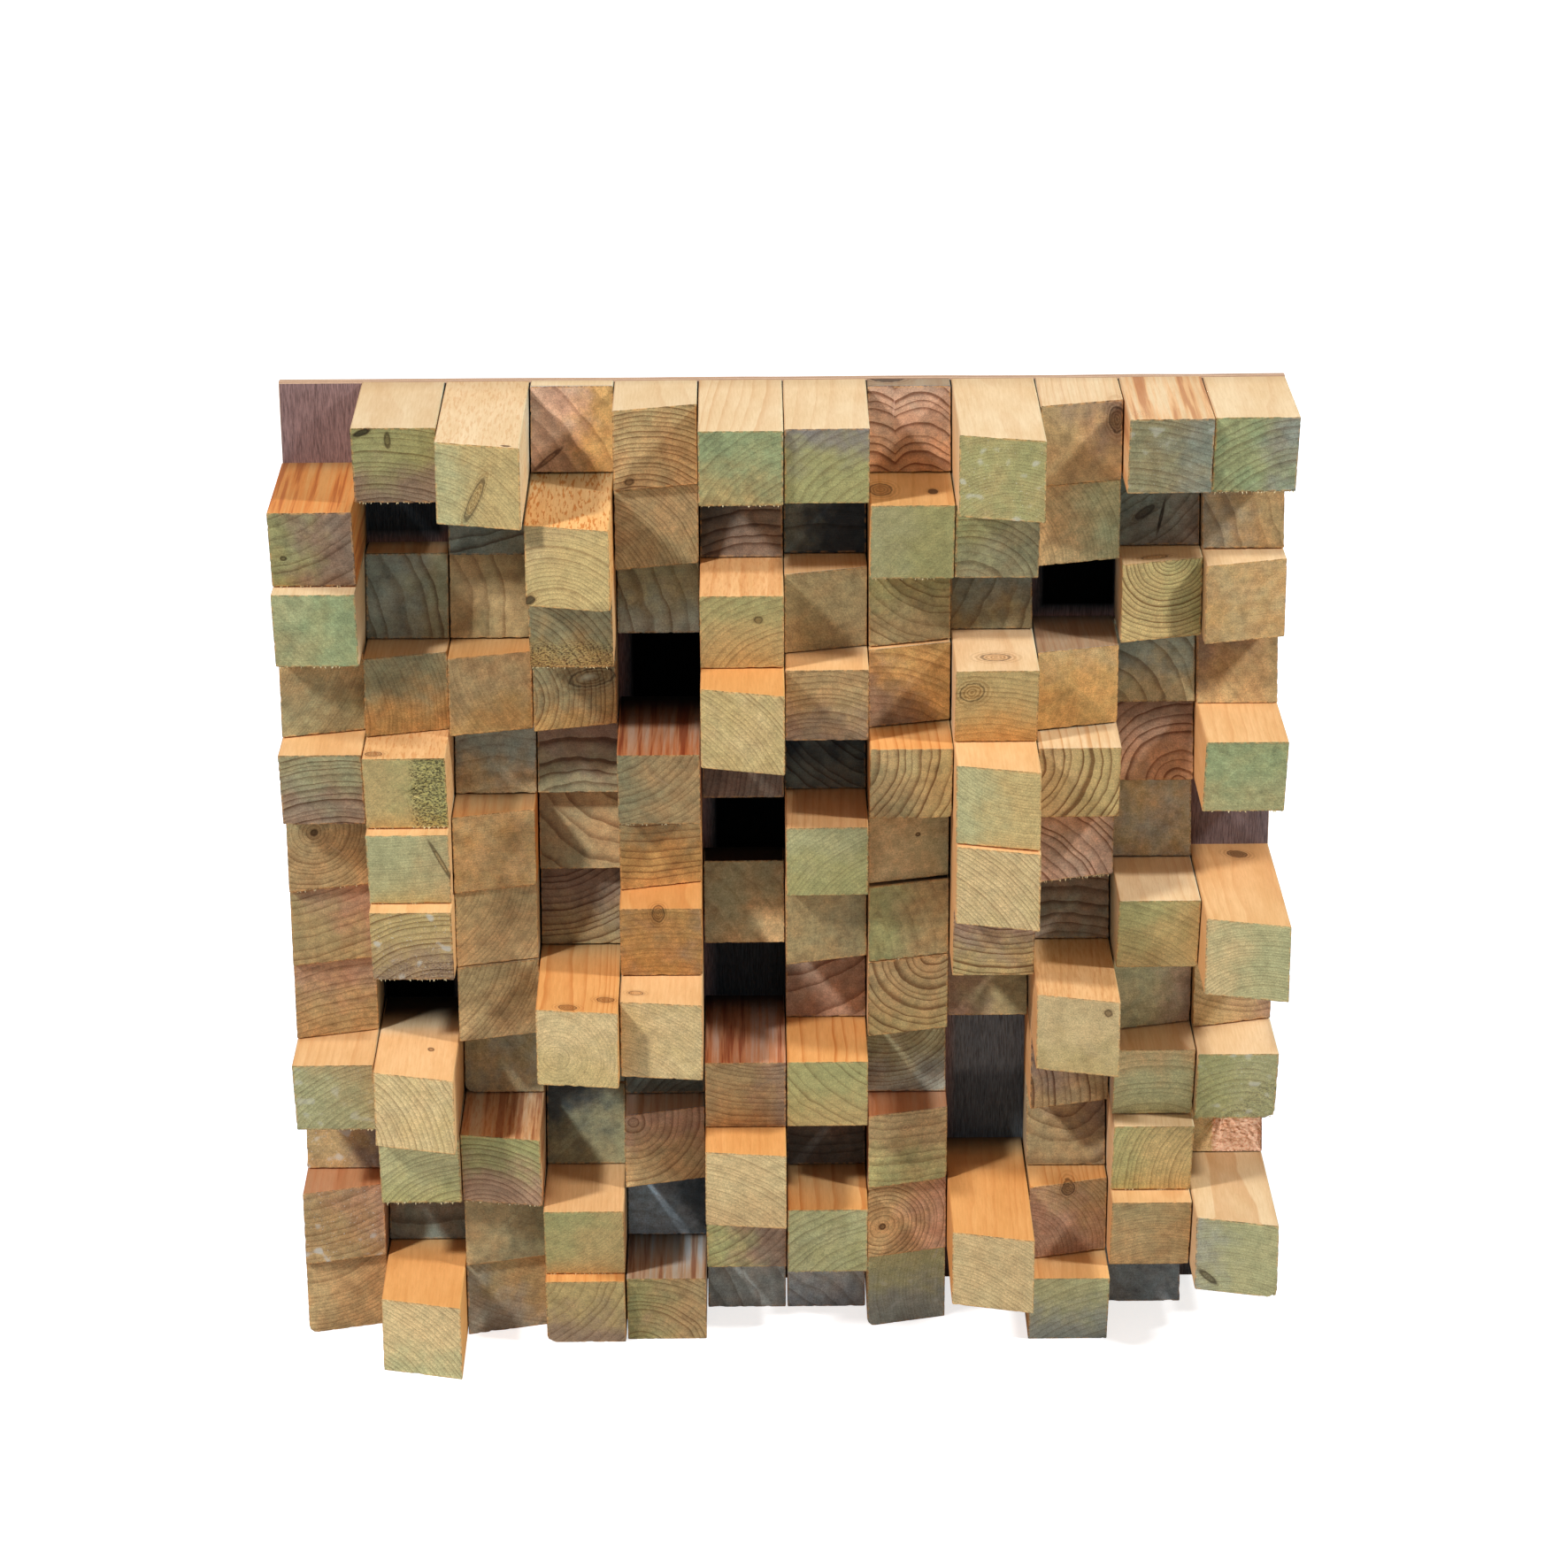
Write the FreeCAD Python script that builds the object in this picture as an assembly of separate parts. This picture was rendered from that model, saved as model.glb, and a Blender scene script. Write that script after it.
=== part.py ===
import FreeCAD
import Part
import math
import os

# Acoustic diffuser panel: short lengths of square softwood glued end-on to a thin plywood board.
# Millimetres. +X is to the right, +Z is up and the blocks point towards -Y, into the room.
# The origin is the centre of the board's back face, which lies against the wall.

# Driving dimensions
panel_side = 430.0
overall_depth = 110.0
board_thickness = 6.0
# Space left between neighbouring blocks, where the glue line shows dark
glue_gap = 0.8
# Degrees by which the saw leans at each block's free end
saw_lean = 15.0
# The saw leaned by half as much on a few tall blocks
slack_lean = 7.5
# Board's back face to the middle of the sawn end, for each length of block
low_reach = 24.0
middle_reach = 48.5
high_reach = 71.0
# Blocks were sawn up to four of these steps long or short
trim_step = 2.5
# Flats on the long edges of the planed timber, and the larger round on a few of them
arris = 0.8
round_arris = 4.0
# Blocks that share one node, counted along a row
blocks_per_node = 3

# Cutting plan, seen from the room, top row first. A point is a cell left bare.
# L low block, its end longer at the foot      M middle block, longer at the left
# H high block, longer at the top              T tall block, longer at the right
# S tall block sawn with the slack lean        W high block, longer at the top right corner
cut_plan = [
    ". H T L M H H L T M H H",
    "H . L T M L L H H M L L",
    "H L L H L H M M L . M M",
    "M M M M . T H M H M L L",
    "H H L L H L L H T H L H",
    "M H M L M . H M T M L .",
    "M H M L H L M M H L H T",
    "M . M S S . L M L T M M",
    "H T L L L H H L . M H H",
    "L H W L M S L M . L H L",
    "M L M H L H H M T M H T",
    "M T M H H L L M . H L .",
]

# How far each block was sawn from its true length: a is four steps short, e is true, i is four long.
trim_plan = [
    ". d e c d g f d c c b a",
    "e . d e c f d c c b a c",
    "e f f f d g e b c . a b",
    "f f f d . f d c e e a b",
    "e g f f f i e d e d b b",
    "f f g f f . d d f d b .",
    "e f f f e f f e f e c d",
    "d . f g d . f e f c c b",
    "f b f b g f f g . e b d",
    "g f f f f d g g . h c c",
    "g g h f f d f f h g d c",
    "f d g e d g g e . e f .",
]

# Row and column of the blocks whose lower left long edge is rounded
rounded_blocks = [(9, 3), (12, 1), (12, 4), (12, 8)]

# Sizes worked out from the driving dimensions
cells = len(cut_plan)
pitch = (panel_side + glue_gap) / cells
block_side = pitch - glue_gap
half_side = panel_side / 2


def trim(mark):
    """Length added to a block by its mark in the trim plan."""
    return (ord(mark) - ord("e")) * trim_step


def plan_cells():
    """Row, column, kind and trim mark of each block, counted from 1 at the top left."""
    for row, (letters, marks) in enumerate(zip(cut_plan, trim_plan), start=1):
        for column, (kind, mark) in enumerate(zip(letters.split(), marks.split()), start=1):
            if kind != ".":
                yield row, column, kind, mark


# The longest tall block reaches the overall depth with the long side of its sawn end
end_slope = math.tan(math.radians(saw_lean))
slack_slope = math.tan(math.radians(slack_lean))
longest_trim = max(trim(mark) for row, column, kind, mark in plan_cells() if kind == "T")
tall_reach = overall_depth - longest_trim - end_slope * block_side / 2

# Reach of each kind, and how its sawn end grows per millimetre to the right and upwards
corner_slope = end_slope / math.sqrt(2)
kinds = {
    "L": (low_reach, 0, -end_slope),
    "M": (middle_reach, -end_slope, 0),
    "H": (high_reach, 0, end_slope),
    "T": (tall_reach, end_slope, 0),
    "S": (tall_reach, slack_slope, 0),
    "W": (high_reach, corner_slope, corner_slope),
}


def block_section(left, bottom, lower_left_round):
    """Square timber section with eased corners, lying on the board's front face."""
    right = left + block_side
    top = bottom + block_side
    plane = -board_thickness

    def at(x, z):
        return FreeCAD.Vector(x, plane, z)

    corner = arris
    edges = []
    if lower_left_round:
        corner = round_arris
        inset = corner * (1 - math.sqrt(0.5))
        halfway = at(left + inset, bottom + inset)
        arc = Part.Arc(at(left, bottom + corner), halfway, at(left + corner, bottom))
        edges.append(arc.toShape())
    else:
        edges.append(Part.LineSegment(at(left, bottom + corner), at(left + corner, bottom)).toShape())
    path = [
        at(left + corner, bottom),
        at(right - arris, bottom),
        at(right, bottom + arris),
        at(right, top - arris),
        at(right - arris, top),
        at(left + arris, top),
        at(left, top - arris),
        at(left, bottom + corner),
    ]
    for start, end in zip(path, path[1:]):
        edges.append(Part.LineSegment(start, end).toShape())
    return Part.Face(Part.Wire(edges))


def saw_waste(x, z, reach, slope_x, slope_z):
    """Everything in front of the saw's plane, which crosses the block's axis at its reach."""
    size = 3 * block_side
    waste = Part.makeBox(size, size, size, FreeCAD.Vector(-size / 2, -size, -size / 2))
    facing = FreeCAD.Vector(-slope_x, -1, -slope_z)
    turn = FreeCAD.Rotation(FreeCAD.Vector(0, -1, 0), facing)
    waste.Placement = FreeCAD.Placement(FreeCAD.Vector(x, -reach, z), turn)
    return waste


def sawn_block(row, column, kind, mark):
    """One block: planed timber cut square where it is glued, and sawn at a lean in front."""
    left = -half_side + (column - 1) * pitch
    bottom = half_side - (row - 1) * pitch - block_side
    reach, slope_x, slope_z = kinds[kind]
    reach += trim(mark)
    section = block_section(left, bottom, (row, column) in rounded_blocks)
    timber = section.extrude(FreeCAD.Vector(0, -(reach + block_side), 0))
    centre_x = left + block_side / 2
    centre_z = bottom + block_side / 2
    return timber.cut(saw_waste(centre_x, centre_z, reach, slope_x, slope_z))


def backing_board():
    """Plain square of plywood with its back face on y = 0."""
    corner = FreeCAD.Vector(-half_side, -board_thickness, -half_side)
    return Part.makeBox(panel_side, board_thickness, panel_side, corner)


def node_name(row, column):
    """Name of the node that holds a block and its neighbours along the row."""
    first = (column - 1) // blocks_per_node * blocks_per_node + 1
    last = min(first + blocks_per_node - 1, cells)
    return "blocks_row_%02d_cols_%02d_%02d" % (row, first, last)


def build():
    """Every node's name and shape."""
    groups = {}
    for row, column, kind, mark in plan_cells():
        groups.setdefault(node_name(row, column), []).append(sawn_block(row, column, kind, mark))
    nodes = {"backing_board": backing_board()}
    for name, solids in groups.items():
        nodes[name] = Part.makeCompound(solids)
    return nodes


os.makedirs("parts", exist_ok=True)
nodes = build()
for name, shape in nodes.items():
    shape.exportStep("parts/%s.step" % name)
print("wrote", len(nodes), "nodes, blocks", round(block_side, 2), "mm square, pitch", round(pitch, 2))
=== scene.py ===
import math

import bpy
import numpy as np
from mathutils import Matrix


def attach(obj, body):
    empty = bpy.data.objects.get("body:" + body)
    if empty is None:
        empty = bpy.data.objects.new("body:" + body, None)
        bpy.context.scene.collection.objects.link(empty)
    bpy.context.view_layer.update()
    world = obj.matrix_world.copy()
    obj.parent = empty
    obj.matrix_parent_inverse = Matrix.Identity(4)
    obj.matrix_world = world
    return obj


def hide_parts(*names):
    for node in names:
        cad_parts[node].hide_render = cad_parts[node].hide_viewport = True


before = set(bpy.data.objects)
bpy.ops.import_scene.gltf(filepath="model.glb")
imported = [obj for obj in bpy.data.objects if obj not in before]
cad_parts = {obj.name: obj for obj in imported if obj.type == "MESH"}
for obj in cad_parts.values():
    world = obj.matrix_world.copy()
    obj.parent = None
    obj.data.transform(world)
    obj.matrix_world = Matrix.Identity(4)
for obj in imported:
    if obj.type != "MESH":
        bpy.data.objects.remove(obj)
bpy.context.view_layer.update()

# Looks of an acoustic diffuser panel: sawn softwood blocks on a thin plywood board.
# Metres, in the part's own frame: +X right, +Z up, blocks towards -Y, back face on y = 0.
# The looks of each block are set in millimetres from the middle of its sawn end.

panel = dict(side=0.430, board=0.006, glueGap=0.0008, cells=12)
pitch = (panel["side"] + panel["glueGap"]) / panel["cells"]
halfSide = panel["side"] / 2
mm = 0.001


def rgb(red, green, blue):
    # a colour as picked on screen, 0 to 255, turned to linear light
    values = np.array([red, green, blue]) / 255
    return np.where(values <= 0.04045, values / 12.92, ((values + 0.055) / 1.055) ** 2.4)


def eachLine(text):
    # each line's row and column, and the words after them
    for line in text.strip().split("\n"):
        row, column, *words = line.split()
        yield (int(row), int(column)), words


def byRow(text):
    # a table of lines "row: column words, column words", as words for each row and column
    found = {}
    for line in text.strip().split("\n"):
        start, _, rest = line.rpartition(":")
        row = int(start) if start else row
        for cell in rest.strip(" ,").split(","):
            column, *words = cell.split()
            found[row, int(column)] = words
    return found


def numbersByRow(text):
    return {key: float(words[0]) for key, words in byRow(text).items()}


# Tints of the sawn ends. The values were adjusted to mean colours measured in the photograph, over all the
# ends with that tint.
tints = dict(
    sage=rgb(193, 187, 137),
    leaf=rgb(176, 184, 134),
    green=rgb(185, 179, 120),
    straw=rgb(208, 181, 122),
    cream=rgb(221, 193, 140),
    tan=rgb(209, 175, 124),
    amber=rgb(212, 163, 98),
    olive=rgb(198, 172, 122),
    moss=rgb(174, 164, 124),
    brown=rgb(200, 158, 129),
    umber=rgb(168, 140, 117),
    bark=rgb(106, 98, 88),
    plum=rgb(150, 140, 136),
    dark=rgb(164, 167, 148),
    # slate paints the bluish shade of the bottom rows' under-lit ends; ash, a pale grey, paints light onto
    # bottom-row ends that lie in shade
    slate=rgb(170, 180, 186),
    stone=rgb(168, 166, 152),
    ash=rgb(206, 211, 206),
    black=rgb(67, 74, 78),
    pink=rgb(236, 190, 156),
)

# Tints of the planed sides. dun and dusk are darker, greyer tints that paint shade on tops lying in shadow;
# gold is a bright tint that paints light on tops lying in shade
sideTints = dict(
    pale=rgb(240, 210, 166),
    pine=rgb(241, 194, 137),
    honey=rgb(234, 172, 104),
    rust=rgb(212, 156, 114),
    rose=rgb(208, 162, 130),
    dusk=rgb(196, 184, 166),
    dun=rgb(172, 148, 120),
    gold=rgb(250, 196, 128),
)
tints["rust"] = sideTints["rust"]

# Sawn end of each block. Each line is: row, column, tint, second tint, share of the second tint, the side
# where it lies (as on a compass, o for all over), pith to the right of and above the middle, ring spacing,
# how strong the rings are, and how broad the dark part of a ring is.
# In the bottom row, the slate and stone patches along the lower side paint the shade of its under-lit lower
# edge.
endLooks = """
    1 2 green umber .42 s -6 -70 2.6 .55 .5
    1 3 straw sage .25 w -20 -32 1.7 .35 .5
    1 4 brown amber .4 e -60 -50 8 .4 .6
    1 5 tan olive .3 n -8 -42 2.2 .75 .5
    1 6 leaf straw .25 s 38 -45 2.8 .35 .4
    1 7 green plum .22 n 36 -44 4 .35 .3
    1 8 brown rust .35 s 0 -36 4.4 1.0 .3
    1 9 green straw .4 o 6 -36 1.4 .3 .5
    1 10 tan umber .15 ne 60 20 2 .1 .5
    1 11 moss dark .3 e -20 -80 2.6 .4 .4
    1 12 leaf stone .2 e 25 -50 3.4 .4 .35
    2 1 umber green .3 w -22 45 4.5 .45 .5
    2 3 dark moss .2 e -20 80 7 .7 .35
    2 4 straw olive .15 nw -4 -30 1.9 .4 .5
    2 5 tan olive .3 s -38 -30 1.7 .45 .5
    2 6 bark umber .3 se 10 -90 5.5 .8 .35
    2 7 black dark .2 w 0 -90 6 .5 .3
    2 8 green sage .3 w 50 -50 3 .1 .5
    2 9 moss green .3 nw -12 -26 3.6 .5 .4
    2 10 tan sage .45 e -45 -20 1.7 .3 .5
    2 11 dark umber .3 se -30 30 5 .6 .3
    2 12 tan stone .25 w -70 -30 8 .35 .4
    3 1 leaf sage .3 w -60 -50 2 .15 .5
    3 2 dark moss .3 e -70 -25 8 .6 .4
    3 3 olive tan .3 w -48 -8 8 .55 .4
    3 4 moss amber .3 s -35 -30 2.6 .6 .4
    3 5 moss dark .3 s -80 -30 8 .5 .4
    3 6 straw green .25 n 24 -34 3.2 .4 .4
    3 7 olive tan .25 s -50 -30 1.3 .15 .5
    3 8 olive green .4 n 22 38 4.2 .55 .25
    3 9 dark olive .3 s -80 30 8 .5 .4
    3 11 straw green .25 e 4 19 1.9 .75 .4
    3 12 tan amber .35 o -40 -60 3 .05 .5
    4 1 moss tan .3 n -60 35 1.4 .25 .5
    4 2 moss amber .45 s -60 -12 1.8 .35 .5
    4 3 tan amber .3 s 55 25 2 .2 .5
    4 4 moss amber .32 s -34 -4 2.3 .6 .45
    4 6 straw cream .3 o -50 -50 2 .45 .5
    4 7 tan umber .3 s -4 -50 2.8 .5 .4
    4 8 amber umber .35 sw -25 -70 3.6 .35 .4
    4 9 straw amber .3 s -5 -75 2.6 .35 .35
    4 10 amber tan .1 n -60 10 2 .08 .5
    4 11 dark olive .3 s -22 -22 7 .6 .4
    4 12 tan umber .25 nw -40 -40 6 .2 .3
    5 1 moss umber .45 s 6 -62 2.9 .75 .4
    5 2 straw green .35 e 20 -30 2.6 .12 .5
    5 3 dark tan .25 s 0 -80 6 .3 .4
    5 4 umber moss .42 s 4 -90 6.5 .85 .3
    5 5 tan moss .3 w -25 35 3.2 .4 .4
    5 6 umber bark .3 n -80 5 2.4 .5 .4
    5 7 black dark .3 s 34 40 4.5 .75 .4
    5 8 olive straw .35 e -46 14 4 .8 .3
    5 9 straw sage .4 w 12 45 1.4 .3 .5
    5 10 straw tan .4 w -34 10 4 .95 .3
    5 11 brown rust .3 s 12 -20 4.5 1.0 .25
    5 12 leaf sage .4 s -40 -50 2 .12 .5
    6 1 tan moss .3 n -6 9 1.9 .45 .45
    6 2 sage olive .1 e -10 120 1.2 .25 .5
    6 3 tan amber .4 o 0 -90 1.2 .15 .5
    6 4 tan moss .35 sw 26 38 8 .6 .35
    6 5 amber moss .25 n 5 110 3.6 .7 .25
    6 7 green sage .4 n 40 -42 2 .28 .4
    6 8 tan olive .35 e 30 60 4 .08 .5
    6 9 cream straw .3 o -45 -50 1.8 .5 .5
    6 10 brown rust .35 n -42 -42 4 .95 .35
    6 11 tan stone .4 o 40 40 5 .06 .5
    7 1 olive brown .35 ne -20 85 4 .45 .35
    7 2 straw umber .38 s 14 -46 3 .65 .4
    7 3 tan olive .4 n -52 32 2.1 .35 .5
    7 4 umber olive .3 s -18 62 3 .8 .35
    7 5 amber umber .3 o 0 -80 2.6 .3 .4
    7 6 moss tan .3 se -50 -40 9 .2 .3
    7 7 olive moss .3 e -60 0 2 .12 .5
    7 8 olive green .4 w -60 -20 5 .2 .4
    7 9 umber straw .4 s 5 48 2.6 .8 .35
    7 10 umber dark .3 o 0 -70 5 .7 .4
    7 11 straw green .4 nw -30 -60 2.6 .3 .4
    7 12 sage cream .3 w 10 -42 1.4 .4 .45
    8 1 tan brown .35 n 10 -90 3 .45 .35
    8 3 olive tan .3 s -48 30 2 .4 .5
    8 4 cream straw .4 s -9 -5 1.6 .25 .45
    8 5 cream straw .3 o -30 -60 1.6 .3 .5
    8 7 brown umber .3 nw -25 60 7 .7 .45
    8 8 tan straw .4 s 12 20 3.6 .8 .3
    8 9 olive brown .3 w 30 60 3 .1 .5
    8 10 cream straw .3 s 2 6 1.9 .06 .5
    8 11 moss umber .3 e 60 10 3 .1 .5
    8 12 cream brown .25 e 10 34 2.5 .4 .4
    9 1 sage olive .25 ne 34 -48 2.2 .35 .45
    9 2 cream straw .3 o -42 -22 2.4 .42 .5
    9 3 olive dark .3 o 30 30 4 .12 .5
    9 4 dark moss .3 o 30 30 4 .12 .5
    9 5 dark moss .3 n 20 -40 3 .5 .4
    9 6 tan umber .25 e 8 60 2.6 .45 .4
    9 7 green straw .33 s 44 48 4.5 .4 .2
    9 8 moss stone .35 s -10 26 2 .55 .45
    9 10 umber tan .3 s -55 -14 3.6 .7 .35
    9 11 sage tan .2 n 0 -50 3 .3 .4
    9 12 sage green .3 w 2 -24 3.5 .3 .4
    10 1 tan plum .25 e 40 40 3 .1 .5
    10 2 sage green .3 s 24 -46 2.6 .4 .4
    10 3 green brown .5 s -8 -32 2.7 .65 .4
    10 4 moss black .45 nw 40 -60 3 .15 .5
    10 5 tan brown .3 n -14 14 3.1 .55 .35
    10 6 cream tan .35 s -28 -62 1.7 .35 .5
    10 7 bark umber .3 n 0 90 5 .6 .3
    10 8 tan green .4 s 4 95 4 .4 .3
    10 10 tan umber .3 ne -2 18 7.5 .6 .35
    10 11 straw green .35 w 52 -14 2.1 .4 .45
    10 12 tan pink .1 e 30 40 3 .1 .5
    11 1 tan brown .3 ne -20 95 3.4 .45 .35
    11 2 umber dark .4 s 0 60 8 .5 .2
    11 3 moss tan .25 w 30 50 2 .12 .5
    11 4 straw green .35 nw -30 40 1.6 .18 .5
    11 5 slate black .4 e -20 -60 6 .2 .3
    11 6 umber green .4 w -40 40 3 .45 .4
    11 7 sage green .3 o 34 -52 4 .35 .35
    11 8 tan brown .3 e -11 -3 2 .6 .45
    11 9 cream tan .3 o -26 -64 1.7 .35 .5
    11 10 brown tan .3 ne -22 -16 1.8 .4 .45
    11 11 tan olive .35 n 5 -50 1.6 .3 .5
    11 12 sage stone .15 w 0 -60 1.4 .3 .45
    12 1 tan cream .2 o -12 40 1.7 .35 .45
    12 2 cream sage .2 s -42 -52 2.1 .4 .45
    12 3 olive stone .4 sw 30 60 2 .25 .5
    12 4 straw umber .35 s -40 30 4 .4 .4
    12 5 tan green .32 w -12 -26 2.8 .55 .4
    12 6 ash slate .3 n -60 -40 8 .45 .3
    12 7 ash slate .3 s -40 -60 8 .4 .3
    12 8 sage stone .5 s 60 0 1.6 .2 .5
    12 10 sage stone .45 s 30 -60 3 .3 .4
    12 11 slate black .3 n 30 30 5 .08 .5
"""
endLook = dict(eachLine(endLooks))

# Planed sides that differ from plain pine, after the row and column: tint, how strong the rings are, and
# how strong the dark streaks, where there are any
sideLooks = byRow("""
    1: 2 pale .15, 3 pale .1, 4 pale .1, 5 pale .2, 6 pale .4, 7 pale .2, 8 dun .3 .1, 9 pale .15,
        10 pale .25 .15, 11 pale .3 .6, 12 pale .15
    2: 1 honey .3 .65, 4 gold .2, 5 pine .4, 8 gold .3
    3: 1 pale .2, 2 pine .4 .2, 6 pine .4 .1, 8 honey .3, 11 pale .25, 12 pale .15
    4: 3 honey .25, 6 honey .1, 9 pale .3, 10 dun .3 .3
    5: 3 honey .4, 5 rust .5 1, 8 honey .7, 9 pine .1, 10 pale .7, 12 pine .25
    6: 3 honey .3 .3, 5 honey .5, 7 pine .4 .1
    7: 5 honey .5, 6 rust .4, 10 honey .4, 11 pale .25, 12 pine .3
    8: 4 honey .6, 5 pine .15, 7 rust .5 .4, 10 pine .35, 12 honey .3
    9: 2 pine .1, 6 rose .5 1, 7 honey .7, 11 pale .3 .15, 12 pale .2
    10: 3 pale .4 .75, 5 dusk .5 .3, 6 honey .2, 8 rust .5 .3, 11 pale .2
    11: 1 rust .5 .3, 4 pine .2, 7 honey .6, 9 honey .25, 10 honey .6, 11 pine .25, 12 pale .5
    12: 2 honey .1, 4 honey .4 .2, 5 dusk .5 .8, 10 gold .3
""")

# Knots, splits and pale streaks, up to two on a block. Each line is: row, column, place to the right, up and
# behind the sawn end, three half sizes, turn in degrees, and darkness (below 0 it is paler than the wood).
markLines = """
    1 2 -2.5 12 0 1.1 3.2 9 0 .5
    1 2 -13 15.5 0 3.4 1.2 3 22 1
    1 3 -1.5 -6 0 1.8 9.5 12 -24 .15
    1 3 12 17.5 2 1.6 1 .8 0 .8
    1 4 -10 -12 0 6 .9 5 38 .4
    1 5 -11 -14 0 1.8 1.4 4 0 .6
    1 8 -9 17 12 7 3 6 0 .9
    1 8 -6.5 9 0 .35 8 4 -4 -.6
    1 10 15 9 0 3.2 5.5 8 8 .5
    1 11 -13 17.5 8 3.2 3 3.4 0 -.1
    2 1 -12 -4 0 1.2 .9 4 0 .7
    2 4 -16 -15 0 2.3 1.6 5 30 1
    2 8 -13 17.5 22 4.6 3 8 0 .5
    2 8 9 17.5 19 1.9 2 3.4 0 1
    2 11 -6 -4 0 4.5 1.5 6 32 .7
    2 11 1 -6 0 .5 5 6 -14 .8
    3 6 7 6 0 1.6 1.6 6 0 .4
    3 11 -3 17.5 6 5.5 2 2.5 0 .1
    4 4 7.5 4.5 0 9.5 4 9 4 .3
    4 4 5.3 4.9 0 5.8 2.4 9 4 -.85
    4 9 -10.5 7 0 5.2 4.2 9 24 .15
    4 9 0 17.5 17 6 3 4.4 0 .2
    5 2 -13 17.5 6 3.5 3 2.6 0 .5
    5 5 2 4 0 11 .8 6 -38 -.4
    6 1 -6 9 0 1.4 1.4 60 0 .8
    6 1 3 0 0 9 .5 6 -42 -.5
    6 2 14 4 0 .8 9 6 24 .2
    6 8 4 3 0 .9 .8 4 0 .7
    6 11 1 5 0 3 2.2 4 0 -.4
    7 5 -1 15 0 2.6 4 5 0 .35
    7 12 2.5 17.5 78 4.2 3 3.8 0 .8
    8 4 -4 17.5 4 3.8 3 2.6 0 .5
    8 4 12 17.5 14 3.6 3 2.6 0 .5
    8 5 -11 17.5 10 3 3 2 0 .2
    8 10 12.5 12 0 1.5 1.5 8 0 .6
    8 12 8 13 0 4 3 8 10 .6
    9 2 6 17.5 30 1.2 1 1.6 0 .5
    10 8 -1 10 0 5 3.4 8 10 -.2
    10 11 14 0 0 2.2 4.5 8 24 -.3
    11 2 2 3 0 12 .7 6 6 .9
    11 8 -11 -3 0 1.3 1.3 60 0 .8
    11 10 0 15 0 2.8 3.2 8 0 .5
    11 12 -12 -11 0 1.3 4.2 9 52 .6
    12 2 -10 17.5 66 1.8 2 2.4 0 .9
    12 4 6 -8 0 7 3 6 34 -.35
    12 4 -6 4 0 4 3 6 0 -.25
    12 5 -9 -5 0 3 7 6 -24 -.35
    12 5 2 4 0 3 2 6 0 -.2
"""
marks = {}
for key, words in eachLine(markLines):
    marks.setdefault(key, []).append([float(word) for word in words])

# Blocks whose rings meet in a cusp, as where two limbs grew together: its place right of the middle
cusps = {(1, 8): -6.0}

# Planed faces left woolly by a blunt cutter
woolly = {(2, 4): 1.0, (1, 3): .35, (5, 2): .5, (10, 3): .4, (8, 10): .3, (3, 6): .3}

# Blocks whose lower saw edge is torn out, and how much
torn = numbersByRow("""
    1: 2 .6, 6 .5, 12 .9
    2: 1 .4, 8 .6
    3: 1 .6, 4 .9
    5: 2 .4, 5 .4, 12 .5
    6: 1 .6, 2 .3, 10 .9
    7: 2 .7, 8 .4
    9: 1 .5, 12 .5
    10: 2 1, 3 .8, 11 .4
    11: 4 .5, 7 .4
""")

# Ends with a rough torn patch: how far right it starts, and how deep it is
roughEnds = {(5, 2): (1.0, .9), (10, 12): (-7.0, 1.6)}

# Ends pitted by the saw: on which side, and how much
pitted = {
    (1, 2): ("ne", .15), (3, 4): ("s", .4), (4, 11): ("n", .15), (5, 2): ("e", 1), (5, 12): ("e", .15),
    (6, 3): ("s", .18), (7, 2): ("s", .25), (9, 12): ("se", .25), (12, 8): ("n", .2),
}

# Ends with pale spots
spotted = {
    (1, 9): .5, (1, 11): .4, (7, 2): .8, (9, 1): .4, (9, 12): .6, (10, 1): .8, (11, 1): 1, (12, 8): .4,
}

# Brightness factors of the ends, partly the timber's own tone and partly painted light that lifts ends lying
# in shade and darkens others. They were adjusted block by block to the mean brightness measured in the
# photograph.
paler = numbersByRow("""
    1: 2 .87, 3 .92, 4 1.2, 5 .88, 6 .9, 9 .86, 10 .88, 11 .85, 12 1
    2: 1 .83, 3 .86, 5 1.1, 7 .85, 9 .92, 10 1.15
    3: 2 1.1, 4 .9, 5 2, 7 .9, 8 .9, 11 1.18, 12 .95
    4: 3 .86, 11 1.55, 12 .9
    5: 1 1.1, 3 1.4, 5 .82, 6 .8, 7 .82, 8 1.12, 10 1.1
    6: 2 1.1, 5 .9, 7 1.1, 8 1.35, 10 1.25, 11 1.35
    7: 2 1.15, 3 1.1, 4 1.05, 5 .92, 6 1.4, 9 1.25, 10 1.5, 11 1.12
    8: 7 1.1, 10 .9, 11 1.68
    9: 1 1.1, 2 1.12, 3 1.55, 5 .64, 7 1.15, 8 1.3, 10 .95, 11 1.33, 12 1.05
    10: 1 .95, 2 1.35, 4 1.1, 5 1.15, 7 1.15, 8 1.15, 11 1.15, 12 1.7
    11: 5 1.45, 6 1.2, 7 1.25, 8 1.25, 10 .85
    12: 2 1.15, 5 .9, 7 1.22, 8 1.05, 10 1.2
""")

# Saw corners broken off at the lower right: how far, in millimetres
brokenCorners = {(9, 12): 2.0, (11, 12): 1.5, (2, 4): .8, (10, 8): .8, (5, 8): .7, (3, 3): .8}

# Bare cells of the board: how dark the painted shade on them is, and how grey and cool it turns them
bareCells = {
    (1, 1): (0, .1), (2, 2): (.85, 1), (3, 10): (1, 1), (4, 5): (1, 1), (6, 6): (1, 1), (6, 12): (0, .35),
    (8, 2): (1, 1), (8, 6): (.8, 1), (9, 9): (0, 1), (10, 9): (.4, 1), (12, 9): (.3, .5),
    (12, 12): (.5, .6),
}
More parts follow.
